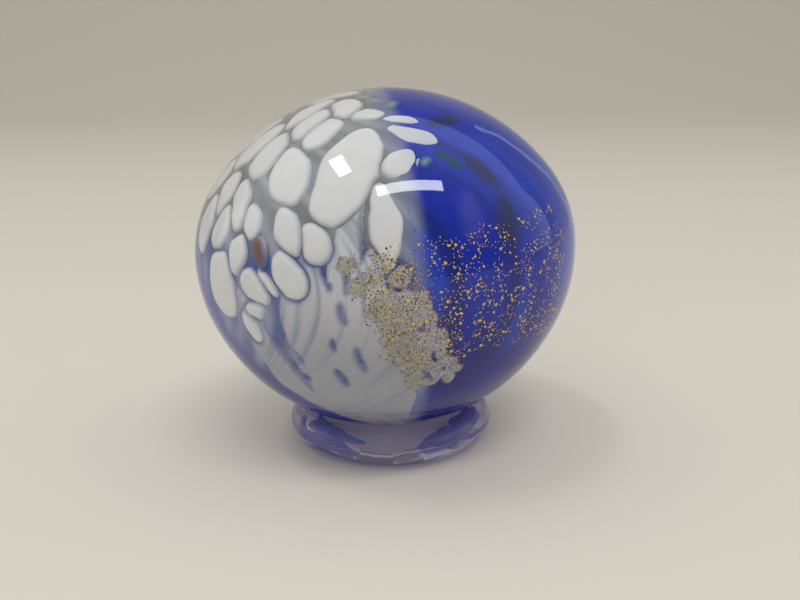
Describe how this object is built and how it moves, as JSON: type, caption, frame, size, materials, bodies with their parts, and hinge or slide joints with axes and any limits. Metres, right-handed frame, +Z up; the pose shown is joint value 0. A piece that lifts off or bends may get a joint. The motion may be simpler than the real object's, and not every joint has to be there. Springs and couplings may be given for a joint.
{
  "type": "glass paperweight",
  "caption": "Footed solid glass paperweight: clear-cased round body with opal chips, cobalt overlay, gold and silver leaf, on an applied clear foot ring.",
  "frame": {"origin": "on the resting plane, under the middle of the overall box: the globe stands centred over it and the foot ring is set 0.75 mm towards +X", "axes": "+X to the right as the front is looked at, +Y towards the back, +Z up and square to the ground underside of the foot ring"},
  "size_m": [0.08, 0.08, 0.0752],
  "materials": {
    "clear_glass": "fire polished",
    "foot_glass": "fire polished",
    "cobalt_glass": "gloss",
    "opal_glass": "gloss",
    "green_glass": "gloss",
    "brown_glass": "gloss",
    "teal_glass": "gloss",
    "violet_glass": "gloss",
    "slate_glass": "gloss",
    "pale_blue_glass": "gloss",
    "gold_leaf": "polished",
    "silver_leaf": "satin"
  },
  "bodies": {
    "root": {"clear_casing": "clear_glass", "core_gather": "clear_glass", "clear_matrix": "clear_glass", "cobalt_overlay": "cobalt_glass", "opal_skirt": "opal_glass", "crown_chips": "opal_glass", "shoulder_chips": "opal_glass", "flank_chips": "opal_glass", "back_chips": "opal_glass", "seam_chips": "opal_glass", "green_chips": "green_glass", "brown_chip": "brown_glass", "teal_chip": "teal_glass", "violet_wisps": "violet_glass", "slate_wisps": "slate_glass", "pale_trail": "pale_blue_glass", "gold_leaf": "gold_leaf", "silver_leaf": "silver_leaf", "foot_ring": "foot_glass", "foot_streaks": "cobalt_glass"}
  },
  "joints": []
}
